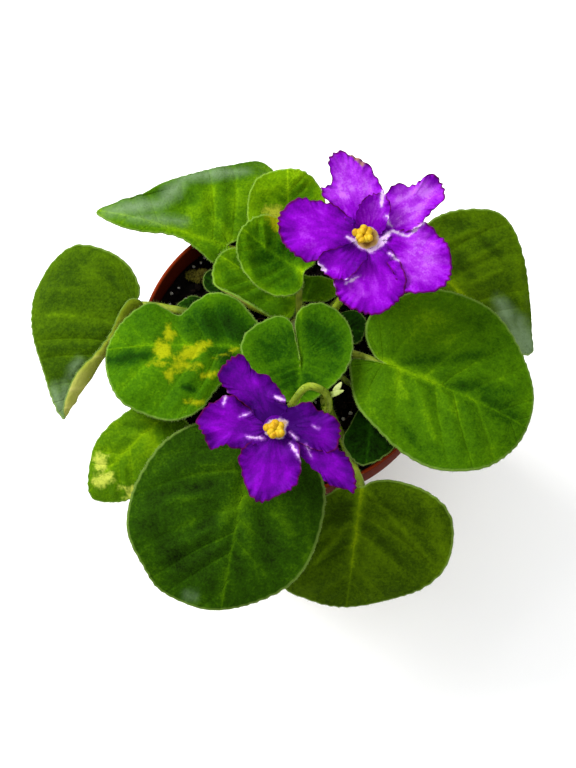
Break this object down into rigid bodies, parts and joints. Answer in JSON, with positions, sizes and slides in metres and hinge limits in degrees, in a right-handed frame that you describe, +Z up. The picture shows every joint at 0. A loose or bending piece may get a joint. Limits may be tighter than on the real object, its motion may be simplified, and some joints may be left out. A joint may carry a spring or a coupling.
{
  "type": "potted african violet",
  "caption": "Low African violet in a round tapered nursery pot: broad fuzzy leaves on short petioles round a crown, with ruffled violet blooms on stalks above them.",
  "frame": {"origin": "middle of the pot's base, on the surface that it stands on", "axes": "+Z up along the pot's axis; +Y towards the back of the picture; +X to its right, the way the plant spreads widest"},
  "size_m": [0.1506, 0.1437, 0.1203],
  "materials": {
    "pot_plastic": "thin moulded brown plastic, satin",
    "potting_mix": "moist dark peat with white perlite grains",
    "crown_stem": "green, hairy",
    "leaf_blade": "soft short hairs, raised veins",
    "petal": "violet, finely veined with a crystalline sheen",
    "anther": "smooth yellow",
    "flower_stalk": "pale green, hairy"
  },
  "bodies": {
    "root": {"pot": "pot_plastic", "soil": "potting_mix", "crown": "crown_stem", "leaf_left": "leaf_blade", "leaf_upper_left": "leaf_blade", "leaf_mottled": "leaf_blade", "leaf_top": "leaf_blade", "leaf_crown_left": "leaf_blade", "leaf_crown_back": "leaf_blade", "leaf_heart": "leaf_blade", "leaf_right_back": "leaf_blade", "leaf_right": "leaf_blade", "leaf_front_left": "leaf_blade", "leaf_front_right": "leaf_blade", "leaf_lower_left": "leaf_blade", "leaf_inner_front": "leaf_blade", "leaf_inner_left": "leaf_blade", "leaf_inner_back": "leaf_blade", "leaf_inner_right": "leaf_blade", "lower_bloom_petals": "petal", "lower_bloom_anthers": "anther", "lower_bloom_stalk": "flower_stalk", "upper_bloom_petals": "petal", "upper_bloom_anthers": "anther", "upper_bloom_stalk": "flower_stalk"}
  },
  "joints": []
}
